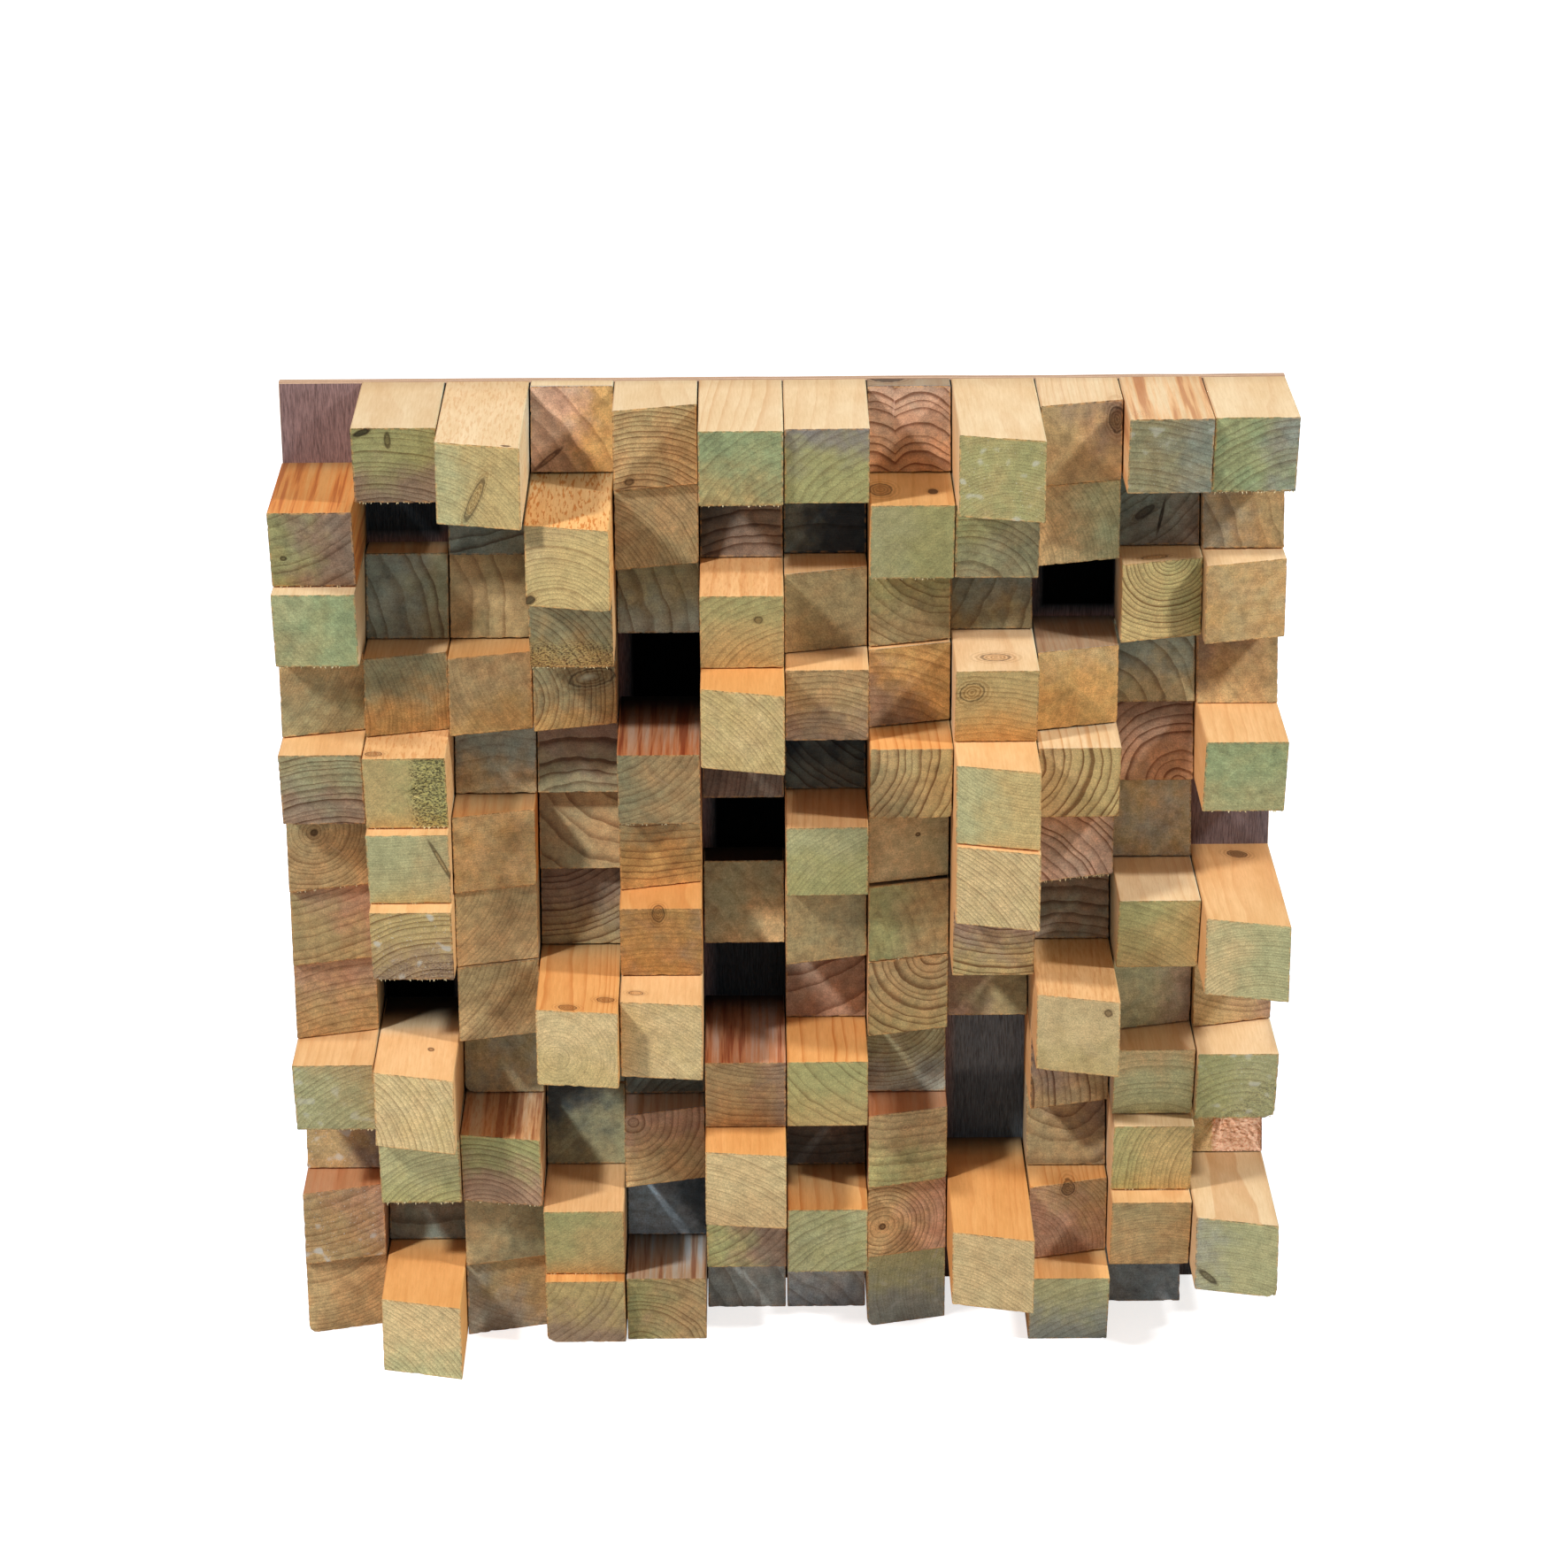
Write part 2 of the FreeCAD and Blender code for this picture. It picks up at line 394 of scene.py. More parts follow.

# How strongly shade is painted in the hollows beside a block, above it and at its left and right
shadeBeside = {
    (1, 8): (1.3, 1), (2, 4): (.6, .6), (2, 8): (.25, 1), (3, 2): (.5, 1), (3, 11): (.35, 1),
    (3, 12): (.6, 1), (5, 2): (1, .6), (5, 10): (.5, 1), (6, 3): (1.5, 1), (6, 7): (.7, 1),
    (7, 2): (1, .6), (7, 6): (1.8, 1), (7, 8): (1.4, 1), (7, 11): (.7, 1), (8, 10): (.3, 1.2),
    (9, 2): (2.2, .15), (9, 11): (.3, 1), (10, 3): (.75, 1), (10, 5): (.8, 1), (10, 8): (.85, 1),
    (10, 11): (.4, 1), (11, 4): (.4, 1), (11, 7): (.7, 1), (11, 12): (1, .4), (12, 2): (1, .6),
    (12, 10): (.5, 1),
}

# Blocks with a rounded long edge at the lower left, as in the part
roundedBlocks = [(9, 3), (12, 1), (12, 4), (12, 8)]

compass = dict(
    n=(0, 1), ne=(.7, .7), e=(1, 0), se=(.7, -.7),
    s=(0, -1), sw=(-.7, -.7), w=(-1, 0), nw=(-.7, .7), o=(0, 0),
)


def valueNoise(points, seed):
    # smooth random values 0 to 1: each lattice corner's hashed value, blended by distance
    cell = np.floor(points).astype(np.int64)
    part = points - cell
    part = part * part * (3 - 2 * part)
    total = np.zeros(len(points))
    for corner in np.ndindex(2, 2, 2):
        at = cell + np.array(corner)
        mixed = (seed * 2654435761) ^ np.bitwise_xor.reduce(at * (73856093, 19349663, 83492791), axis=1)
        mixed = (mixed ^ (mixed >> 13)) * 1274126177 & 0xFFFFFFFF
        value = ((mixed ^ (mixed >> 16)) & 0xFFFF) / 65535
        weight = np.prod(np.where(np.array(corner) == 1, part, 1 - part), axis=1)
        total += weight * value
    return total


# Depth that counts as the deepest hollow, and how open it is past the edge of the board
hollows = dict(deepest=45 * mm, pastEdge=-30 * mm)


def hollowness(points, outward, row, column):
    # how far a place lies below the blocks in front of it, 0 to 1: mean depth over the eight cells around;
    # it sets how much shade is painted there
    total, weights = np.zeros(len(points)), np.full(len(points), 1e-6)
    for down in (-1, 0, 1):
        for across in (-1, 0, 1):
            if not (down or across):
                continue
            towards = np.array([across, -down]) / math.hypot(across, down)
            facing = outward @ towards
            weight = np.where(np.abs(outward).sum(axis=1) > 0, np.clip(facing, 0, 1), 1)
            inside = 0 < row + down <= panel["cells"] and 0 < column + across <= panel["cells"]
            height = reachOf.get((row + down, column + across), 0)
            total += weight * (np.clip(height + points[:, 1], 0, None) if inside else hollows["pastEdge"])
            weights += weight
    return np.clip(total / weights / hollows["deepest"], 0, 1)


def sectionLoop(low, high, corners, perSide, perCorner):
    # a rectangle with quarter circles at its corners, run once round: its points, and which way each faces
    points, outward = [], []
    centres = [(low[0], low[1], 180), (high[0], low[1], 270), (high[0], high[1], 0), (low[0], high[1], 90)]
    for radius, (cornerX, cornerZ, start) in zip(corners, centres):
        inX = cornerX + radius * (1 if cornerX == low[0] else -1)
        inZ = cornerZ + radius * (1 if cornerZ == low[1] else -1)
        turn = np.radians(start + np.linspace(0, 90, perCorner + 1))
        points.append(np.stack([inX + radius * np.cos(turn), inZ + radius * np.sin(turn)], 1))
        outward.append(np.stack([np.cos(turn), np.sin(turn)], 1))
    ringPoints, ringOut = [], []
    for number in range(4):
        begin, end = points[number][-1], points[(number + 1) % 4][0]
        share = np.linspace(0, 1, perSide + 2)[1:-1, None]
        ringPoints += [points[number], begin + (end - begin) * share]
        ringOut += [outward[number], np.repeat(outward[number][-1:], perSide, axis=0)]
    return np.concatenate(ringPoints), np.concatenate(ringOut)


def planeAt(plane, x, z):
    # y of a sawn end's plane above a place
    return plane[0] + plane[1] * x + plane[2] * z


def noiseAt(x, y, z, seed):
    return valueNoise(np.stack(np.broadcast_arrays(x, y, z), 1).astype(float), seed)


# The skin of a block, in millimetres. The side's loops are shares of its length, the rest are distances from
# the saw edge, and the twist is in radians.
timber = dict(
    edge=0.6, roundedEdge=4.0,  # radius of the long edges
    swelled=0.12,  # wider than planed, on each side
    perSide=28, perCorner=3,  # points of a loop
    sideLoops=[1, .8, .6, .42, .25, .12], edgeLoops=[2.4, 1.1, 0.45, 0.12],
    endLoops=[0.12, 0.5, 1.2, 2.4, 4.2, 6.6, 9.6, 13.2],
    roughLoops=[0.12, 0.5, 1.1, *np.arange(1.9, 16.9, 0.85)],
    edgeReach=2.6, endReach=1.6,  # how far the saw edge's wear goes along the side and into the end
    chips=1.3, nicks=0.07, fringe=1.5,  # of the saw edge
    unevenSide=0.16, unevenEnd=0.3, sunkEnd=0.05,
    twist=0.0022, shift=0.07,  # glued a little off, less than the gap beside it
)


def blockSurface(row, column, low, high, plane, seed):
    # one block as a skin of loops: up its sides from the board, over the saw edge and in to the end's middle
    place = np.random.default_rng(seed)
    key = (row, column)
    rough = roughEnds.get(key)
    radius = timber["edge"] * mm
    corners = [timber["roundedEdge"] * mm if key in roundedBlocks else radius, radius, radius, radius]
    low, high = low - timber["swelled"] * mm, high + timber["swelled"] * mm
    loop, outward = sectionLoop(low, high, corners, timber["perSide"], timber["perCorner"])
    count = len(loop)
    middle = (low + high) / 2
    frontY = planeAt(plane, loop[:, 0], loop[:, 1])
    length = -panel["board"] - frontY
    run = np.linspace(0, 1, count, endpoint=False)
    edgeNoise = noiseAt(run * 70, seed * .37, 0, seed)
    fineNoise = noiseAt(run * 140, seed * .71, 1, seed + 5)
    chip = np.clip(edgeNoise - 0.68, 0, 1) * timber["chips"] * mm + fineNoise * timber["nicks"] * mm
    toCorner = np.hypot(high[0] - loop[:, 0], loop[:, 1] - low[1]) / mm
    chip = chip + np.clip(1 - toCorner / 4, 0, 1) * brokenCorners.get(key, 0) * mm
    lower = np.clip(-outward[:, 1], 0, 1)
    ragged = np.clip(edgeNoise * .6 + fineNoise * .6 - 0.45, 0, 1)
    fringe = torn.get(key, 0) * lower * ragged * timber["fringe"] * mm
    rings = []
    for share in timber["sideLoops"]:
        y = frontY + length * share
        swell = noiseAt(loop[:, 0] / .012, y / .03, loop[:, 1] / .012, seed + 9) - .5
        flat = loop + outward * (swell * timber["unevenSide"] * mm)[:, None]
        rings.append(np.column_stack([flat[:, 0], y, flat[:, 1]]))
    for back in timber["edgeLoops"]:
        fade = 1 - back / timber["edgeReach"]
        flat = loop + outward * ((fringe - chip) * fade)[:, None]
        rings.append(np.column_stack([flat[:, 0], frontY + back * mm + chip * fade * .6, flat[:, 1]]))
    for step in timber["roughLoops" if rough else "endLoops"]:
        inset = step * mm
        fade = np.clip(1 - step / timber["endReach"], 0, 1)
        flat = middle + (loop - middle) * (1 - inset / ((high - low) / 2).min())
        flat = flat + outward * ((fringe - chip) * fade)[:, None]
        wave = (noiseAt(flat[:, 0] / .009, flat[:, 1] / .009, 0, seed + 3) - .5) * timber["unevenEnd"] * mm
        y = planeAt(plane, flat[:, 0], flat[:, 1])
        y = y + (wave + timber["sunkEnd"] * mm) * (1 - fade) + chip * fade * .5
        if rough:
            start, deep = rough
            local = (flat - middle) / mm
            mask = np.clip((local[:, 0] - start) / 5 + (edgeNoise - .5) * 1.6, 0, 1)
            pits = noiseAt(local[:, 0] / 1.6, local[:, 1] / .9, 4, seed + 21)
            y = y + mask * deep * (.25 + pits) * mm * (1 - fade * .6)
        rings.append(np.column_stack([flat[:, 0], y, flat[:, 1]]))
    centreY = planeAt(plane, *middle) + (rough[1] * .7 * mm if rough else 0)
    verts = np.concatenate(rings + [np.array([[middle[0], centreY, middle[1]]])])
    number = len(rings)
    index = np.arange(number * count).reshape(number, count)
    follow = np.roll(index, -1, axis=1)
    quads = np.stack([index[:-1], follow[:-1], follow[1:], index[1:]], -1).reshape(-1, 4)
    fan = np.stack([index[-1], follow[-1], np.full(count, number * count)], 1)
    sideRings = len(timber["sideLoops"]) + len(timber["edgeLoops"]) - 1
    endFace = np.concatenate([np.repeat(np.arange(number - 1) >= sideRings, count), np.ones(count, bool)])
    angle = place.normal(0, timber["twist"])
    shift = place.normal(0, timber["shift"], 2) * mm
    turned = verts[:, [0, 2]] - middle
    cosine, sine = math.cos(angle), math.sin(angle)
    verts[:, 0] = middle[0] + turned[:, 0] * cosine - turned[:, 1] * sine + shift[0]
    verts[:, 2] = middle[1] + turned[:, 0] * sine + turned[:, 1] * cosine + shift[1]
    x, y, z = verts.T
    local = np.column_stack([x - middle[0], z - middle[1], y - planeAt(plane, x, z)]) / mm
    # the planed loops and the two beside them face outward, the sawn end faces nowhere beside it
    sides = len(timber["sideLoops"]) + 2
    facing = np.concatenate([np.tile(outward, (sides, 1)), np.zeros((len(verts) - sides * count, 2))])
    # how strongly shade is painted in the hollows beside the block, above it and at its sides
    above, beside = shadeBeside.get(key, (1, 1))
    shadeFactor = np.where(facing[:, 1] > .5, above, np.where(np.abs(facing[:, 0]) > .5, beside, 1))
    hollow = np.clip(hollowness(verts, facing, row, column) * shadeFactor, 0, 1)
    return verts, quads, fan, endFace, local, hollow


def splinters(row, column, low, high, plane, seed):
    # torn fibres: thin three-sided spikes that hang from the lower saw edge
    tear = torn.get((row, column), 0)
    if not tear:
        return None
    place = np.random.default_rng(seed + 77)
    number = int(10 + 26 * tear)
    x = place.uniform(low[0] + mm, high[0] - mm, number)
    wide = place.uniform(.25, .6, number) * mm
    drop = place.uniform(.25, 1.5, number) ** 1.3 * mm * (.5 + tear * .7)
    z = np.full(number, low[1]) + .35 * mm
    y = planeAt(plane, x, z) + .25 * mm
    lean = place.normal(0, .35, number) * mm
    left = np.column_stack([x - wide, y, z])
    right = np.column_stack([x + wide, y, z])
    rear = np.column_stack([x, y + .7 * mm, z])
    tip = np.column_stack([x + lean, y - .15 * mm, z - drop])
    verts = np.stack([left, right, rear, tip], 1).reshape(-1, 3)
    base = np.arange(number)[:, None] * 4
    corners = [(0, 1, 2), (0, 3, 1), (1, 3, 2), (2, 3, 0)]
    faces = np.concatenate([base + np.array(order) for order in corners])
    middle = (low + high) / 2
    x, y, z = verts.T
    local = np.column_stack([(x - middle[0]) / mm, (z - middle[1]) / mm, np.ones(len(verts))])
    return verts, faces, local


sharpAngle = math.radians(38)  # edges that turn more than this stay sharp


def makeMesh(name, verts, faces, slots, attributes, materials):
    mesh = bpy.data.meshes.new(name)
    mesh.from_pydata(verts.tolist(), [], faces)
    for material in materials:
        mesh.materials.append(material)
    mesh.polygons.foreach_set("material_index", slots)
    mesh.polygons.foreach_set("use_smooth", np.ones(len(faces), bool))
    for label, values in attributes.items():
        layer = mesh.attributes.new(label, "FLOAT_VECTOR", "POINT")
        layer.data.foreach_set("vector", values.astype(np.float32).ravel())
    mesh.update()
    mesh.set_sharp_from_angle(angle=sharpAngle)
    piece = bpy.data.objects.new(name, mesh)
    bpy.context.scene.collection.objects.link(piece)
    return piece


# Shader helpers. A value is one output of a node, and arithmetic between values adds Math nodes.

class Value:
    def __init__(self, socket):
        self.socket = socket

    def __add__(self, other):
        return calc("ADD", self, other)

    def __radd__(self, other):
        return calc("ADD", other, self)

    def __sub__(self, other):
        return calc("SUBTRACT", self, other)

    def __rsub__(self, other):
        return calc("SUBTRACT", other, self)

    def __mul__(self, other):
        return calc("MULTIPLY", self, other)

    def __rmul__(self, other):
        return calc("MULTIPLY", other, self)

    def __truediv__(self, other):
        return calc("DIVIDE", self, other)

    def __rtruediv__(self, other):
        return calc("DIVIDE", other, self)

    def __abs__(self):
        return calc("ABSOLUTE", self)


def newMaterial(name):
    material = bpy.data.materials.new(name)
    material.use_nodes = True
    tree = material.node_tree
    tree.nodes.clear()
    return material, tree


def feed(socket, value):
    # a value, a number or a colour, put into a node's input
    if isinstance(value, Value):
        socket.id_data.links.new(value.socket, socket)
    elif hasattr(value, "__len__") and len(value) == 3 and socket.type == "RGBA":
        socket.default_value = (*[float(part) for part in value], 1)
    else:
        socket.default_value = value


def nodeFor(kind, *values):
    # a new node in the tree of the values that will feed it
    tree = next(value.socket.id_data for value in values if isinstance(value, Value))
    return tree.nodes.new("ShaderNode" + kind)


def calc(operation, *values):
    node = nodeFor("Math", *values)
    node.operation = operation
    for socket, value in zip(node.inputs, values):
        feed(socket, value)
    return Value(node.outputs[0])


def blend(share, first, second, way="MIX"):
    node = nodeFor("Mix", share, first, second)
    node.data_type = "RGBA"
    node.blend_type = way
    node.clamp_factor = True
    feed(node.inputs["Factor"], share)
    feed(node.inputs[6], first)
    feed(node.inputs[7], second)
    return Value(node.outputs[2])


def smooth(value, start, end, low=0.0, high=1.0):
    node = nodeFor("MapRange", value)
    node.interpolation_type = "SMOOTHSTEP"
    for socket, number in zip(node.inputs, (value, start, end, low, high)):
        feed(socket, number)
    return Value(node.outputs[0])


def noise(vector, scale, detail=2.0, rough=0.5, colour=False):
    node = nodeFor("TexNoise", vector)
    for name, value in dict(Vector=vector, Scale=scale, Detail=detail, Roughness=rough).items():
        feed(node.inputs[name], value)
    return Value(node.outputs[1 if colour else 0])


def attribute(tree, name):
    node = tree.nodes.new("ShaderNodeAttribute")
    node.attribute_name = name
    return Value(node.outputs["Vector"])


def split(vector):
    node = nodeFor("SeparateXYZ", vector)
    feed(node.inputs[0], vector)
    return [Value(socket) for socket in node.outputs]


def channels(tree, name):
    return split(attribute(tree, name))


def objectPlace(tree):
    return split(Value(tree.nodes.new("ShaderNodeTexCoord").outputs["Object"]))


def join(*parts):
    node = nodeFor("CombineXYZ", *parts)
    for socket, value in zip(node.inputs, parts):
        feed(socket, value)
    return Value(node.outputs[0])


def scaled(colour, factor):
    # a colour times another colour or three numbers
    return blend(1.0, colour, factor, "MULTIPLY")


def tinged(colour, share, factor):
    # part of the colour turned to the colour times a factor
    return blend(share, colour, scaled(colour, factor))


def grey(value):
    return join(value, value, value)


def bump(height, strength, distance):
    node = nodeFor("Bump", height)
    for name, value in dict(Strength=strength, Distance=distance, Height=height).items():
        feed(node.inputs[name], value)
    return Value(node.outputs[0])


def finishMaterial(colour, roughness, normal, gloss=0.25):
    shader = nodeFor("BsdfPrincipled", colour)
    inputs = {"Base Color": colour, "Roughness": roughness, "Specular IOR Level": gloss, "Normal": normal}
    for name, value in inputs.items():
        feed(shader.inputs[name], value)
    output = nodeFor("OutputMaterial", colour)
    feed(output.inputs[0], Value(shader.outputs[0]))


def ringPattern(tree, x, z, along, seed, stretch):
    # growth rings: distance from the pith over the ring spacing, wavering a little, dark late in each ring
    pithX, pithZ, spacing = channels(tree, "pithRing")
    strength, broad, drift = channels(tree, "ringShape")
    sway = noise(join(x + seed, z, along * stretch), .055, 2, .5, True)
    swayX, swayZ, _ = split(sway)
    reach = spacing * .7 + 1.2
    _, cuspAt, cusp = channels(tree, "extras")
    folded = 11.0 - abs(x - cuspAt)
    dx = x - pithX
    dx = dx + cusp * (folded - dx) + (swayX - .5) * reach + along * drift
    dz = z - pithZ + (swayZ - .5) * reach
    radius = calc("SQRT", dx * dx + dz * dz)
    arch = dz + dx * dx * .036
    radius = radius + cusp * (arch - radius)
    count = radius / spacing
    count = count + noise(join(count + seed, seed, 0.0), .45, 1) * 2.2
    part = calc("FRACT", count)
    start = .8 - broad * 1.4
    late = smooth(part, start, .93) * smooth(part, .6, .92, .5, 1.0)
    late = late * smooth(part, .94, 1.0, 1.0, 0.0)
    strongOrWeak = noise(join(calc("FLOOR", count), seed, 0.0), 1.7, 1)
    late = late * smooth(strongOrWeak, .25, .7, .45, 1.15)
    return late, strength


def addMark(tree, colour, plain, x, z, depth, number):
    # a knot: distance from it in units of its half sizes, after its turn, gives a core and a dark outline
    knotX, knotZ, knotDepth = channels(tree, "markPlace%d" % number)
    sizeX, sizeZ, sizeDepth = channels(tree, "markSize%d" % number)
    cosine, sine, darkness = channels(tree, "markTone%d" % number)
    dx = x - knotX
    dz = z - knotZ
    turnedX = dx * cosine + dz * sine
    turnedZ = dz * cosine - dx * sine
    a = turnedX / sizeX
    b = turnedZ / sizeZ
    c = (depth - knotDepth) / sizeDepth
    waver = noise(join(x, z, depth), .5, 2)
    distance = calc("SQRT", a * a + b * b + c * c) + (waver - .5) * .35
    thin = calc("MINIMUM", sizeX, calc("MINIMUM", sizeZ, sizeDepth))
    rimWidth = .55 / calc("MAXIMUM", thin, .5)
    outerRim = smooth(distance, 1.0, 1.0 + rimWidth, 1.0, 0.0)
    innerRim = smooth(distance, 1.0 - rimWidth, .98)
    wavelets = .5 + calc("SINE", distance * 21.0) * .5
    pattern = blend(wavelets, scaled(colour, (1.16, 1.06, .98)), scaled(colour, (.6, .46, .34)))
    core = blend(darkness, pattern, scaled(colour, (.1, .085, .08)))
    paleness = calc("MAXIMUM", darkness * -1.0, 0.0)
    core = blend(paleness, core, scaled(plain, (1.25, 1.4, 1.7)))
    isDark = smooth(darkness, -.15, 0.0)
    inside = smooth(distance, isDark * .8, 1.0, 1.0, 0.0) * .9
    colour = blend(inside, colour, core)
    # rings bent round the knot, none round a thin split
    wide = smooth(thin, .8, 1.4)
    bent = .5 + calc("SINE", distance * 15.0) * .5
    bent = bent * smooth(distance, 1.1, 2.4, .55, 0.0) * wide * isDark * smooth(distance, .98, 1.1)
    colour = tinged(colour, bent, (.5, .36, .26))
    outline = innerRim * outerRim * (.68 + darkness * .25) * isDark
    return tinged(colour, outline, (.16, .11, .09))


def sawnEndMaterial():
    material, tree = newMaterial("sawnEnd")
    x, z, depth = channels(tree, "local")
    patchX, patchZ, patchShare = channels(tree, "patchWay")
    seed, spots, roughness = channels(tree, "blockMarks")
    _, hollow, _ = channels(tree, "sideShape")
    _, pits, mottle = channels(tree, "sideMarks")
    flat = join(x + seed * 3.1, z, seed + depth)
    late, strength = ringPattern(tree, x, z, 0.0, seed, 1.0)
    cloud = noise(flat, .075, 3, .6)
    side = x * patchX + z * patchZ
    lean = side * .035 + (cloud - .5) * 1.5
    mask = smooth(lean + patchShare, .05, .95, 0.0, .9)
    colour = blend(mask, attribute(tree, "tintMain"), attribute(tree, "tintPatch"))
    # clouds of warmer and greener wood, and a few dark smudges
    warm = noise(join(z, x, seed), .075, 2, .6)
    smudge = noise(join(z, seed, x), .09, 2, .6)
    colour = tinged(colour, mottle, blend(smooth(warm, .36, .64), (1.07, .98, .9), (.96, 1.02, 1.0)))
    smudged = smooth(smudge, .52, .7) * mottle * .45
    colour = tinged(colour, smudged, (.6, .56, .56))
    uneven = smooth(noise(flat, .2, 4, .7), .25, .75, -.5, .5) * (.26 + mottle * .3)
    colour = scaled(colour, grey(1.0 + uneven))
    colour = tinged(colour, late * strength * 1.3, (.4, .3, .25))
    grain = noise(flat, 1.7, 4, .8)
    colour = scaled(colour, grey(smooth(grain, .3, .7, .7, 1.22)))
    # fine scratches left by the saw
    sawn = noise(join(x * .12, z * 1.6, seed), 1.0, 2, .6)
    colour = scaled(colour, grey(smooth(sawn, .3, .7, .95, 1.05)))
    # dark flecks and pale spots
    flecks = smooth(noise(flat, .85, 2, .5), .7, .76)
    colour = tinged(colour, flecks * .45, (.35, .3, .28))
    pale = smooth(noise(flat, .2, 0, .4), .66, .8)
    colour = blend(pale * spots * .75, colour, rgb(222, 220, 208))
    pale = smooth(noise(flat, 1.2, 1, .4), .68, .76)
    colour = blend(pale * spots * .6, colour, rgb(232, 230, 216))
    # pits torn by the saw, with painted shade inside them and painted highlights on their yellowish rims
    crumbs = noise(join(x, z * 1.5, seed), 1.05, 3, .6)
    inPit = smooth(crumbs, .5, .6) * smooth(pits + cloud * .3, .2, .6)
    rimOfPit = smooth(crumbs, .5, .42) * pits
    colour = blend(rimOfPit * .6, colour, rgb(214, 196, 108))
    colour = tinged(colour, inPit * smooth(pits, 0.0, .3) * .8, (.16, .13, .1))
    # a torn patch, in the second tint
    tufts = noise(join(x, z * 1.6, seed), .75, 3, .6)
    fluff = blend(smooth(tufts, .35, .6), (.62, .46, .36), (1.05, .98, .95))
    fluff = scaled(attribute(tree, "tintPatch"), fluff)
    plain = 1.0 - calc("MINIMUM", pits * 4.0, 1.0)
    ragged = smooth(roughness + tufts * .5, .5, .75) * smooth(roughness, 0.0, .2)
    colour = blend(ragged * plain * .9, colour, fluff)
    # lighter torn fibres along the edges, with a painted highlight on the arris, and a dark line of painted
    # shade along the worn corner
    edge = calc("MAXIMUM", abs(x), abs(z))
    rim = smooth(edge, 16.6, 17.3) * smooth(noise(flat, .4, 2), .4, .6)
    colour = blend(rim * .5, colour, sideTints["honey"])
    wearAndEdgeShade = smooth(edge, 17.1, 17.5) * smooth(noise(flat, .9, 2), .42, .58)
    colour = tinged(colour, wearAndEdgeShade * .6, (.25, .2, .16))
    # painted shade in the hollows: first cooler, then darker
    colour = tinged(colour, smooth(hollow, .1, .6), (.96, 1.08, 1.2))
    colour = tinged(colour, hollow * .4, (.2, .2, .2))
    for number in (1, 2):
        colour = addMark(tree, colour, attribute(tree, "tintMain"), x, z, depth, number)
    shreds = noise(join(x * .8, z * 2.0, seed), 1.0, 3, .7)
    height = sawn * .6 + grain * .5 + shreds * roughness * 3.0 - inPit * pits * 2.5
    finishMaterial(colour, smooth(grain, .2, .8, .72, .92), bump(height, .7, .00025))
    return material


def planedSideMaterial():
    material, tree = newMaterial("planedSide")
    x, z, depth = channels(tree, "local")
    stripes, hollow, foot = channels(tree, "sideShape")
    seed, _, _ = channels(tree, "blockMarks")
    late, _ = ringPattern(tree, x, z, depth, seed, .25)
    fibres = join(x + seed, z - seed, depth * .07)
    broad = join(x + seed, z, depth * .4)
    colour = attribute(tree, "tintSide")
    # painted shade: the side turns deeper orange towards the back
    back = smooth(depth, 12.0, 80.0, 0.0, .45)
    colour = tinged(colour, back, (.93, .8, .66))
    cloud = noise(broad, .07, 3, .55)
    colour = scaled(colour, blend(smooth(cloud, .3, .7), (.95, .9, .83), (1.03, 1.04, 1.05)))
    colour = tinged(colour, late * stripes, (.72, .47, .28))
    fine = noise(fibres, 1.3, 4, .65)
    colour = scaled(colour, blend(smooth(fine, .3, .7), (.94, .91, .86), (1.03, 1.04, 1.06)))
    # painted light and shade on the flanks: the left ones darker and warmer, the right ones lighter and
    # cooler
    flank = smooth(abs(x), 16.9, 17.4)
    flankTone = blend(smooth(x, -1.0, 1.0), (.84, .77, .74), (1.04, 1.18, 1.24))
    colour = tinged(colour, flank, flankTone)
    # painted shade in the hollows: greyer and cooler
    colour = tinged(colour, smooth(hollow, .02, .4), (.82, 1.12, 1.6))
    streaks, _, _ = channels(tree, "sideMarks")
    across = x + seed + z * .3
    bands = noise(join(across, seed, depth * .03), .26, 3, .6)
    warmBand = smooth(bands, .38, .54) * streaks * .9
    colour = tinged(colour, warmBand, (.96, .62, .38))
    darkBand = smooth(bands, .52, .62) * streaks * .8
    colour = tinged(colour, darkBand, (.45, .2, .13))
    woollyPart, _, _ = channels(tree, "extras")
    tufts = noise(join(x + seed, z, depth * .13), .95, 2, .6)
    colour = tinged(colour, smooth(tufts, .52, .62) * woollyPart, (.74, .48, .28))
    hairs = smooth(noise(fibres, 3.5, 2, .5), .66, .74)
    colour = tinged(colour, hairs * .3, (.55, .38, .25))
    # glue and painted shade next to the board, and painted shade that darkens the hollows
    foot = foot * smooth(hollow, 0.0, .5, .15, .8)
    colour = blend(foot, colour, (.035, .03, .025))
    hollowShade = smooth(hollow, .15, .85, 0.0, .96) * (1.0 - flank * .6)
    colour = blend(hollowShade, colour, (.014, .014, .014))
    for number in (1, 2):
        colour = addMark(tree, colour, attribute(tree, "tintSide"), x, z, depth, number)
    height = fine * .8 + tufts * woollyPart * 3.0
    gloss = (1.0 - hollowShade) * .25
    finishMaterial(colour, smooth(fine, .2, .8, .62, .8), bump(height, .5, .0002), gloss)
    return material


def splinterMaterial():
    material, tree = newMaterial("tornFibre")
    x, z, _ = channels(tree, "local")
    tone = noise(join(x, z, 0.0), .9, 2)
    colour = blend(smooth(tone, .3, .7), rgb(206, 178, 122), rgb(236, 220, 176))
    finishMaterial(colour, .9, bump(tone, .4, .0002))
    return material


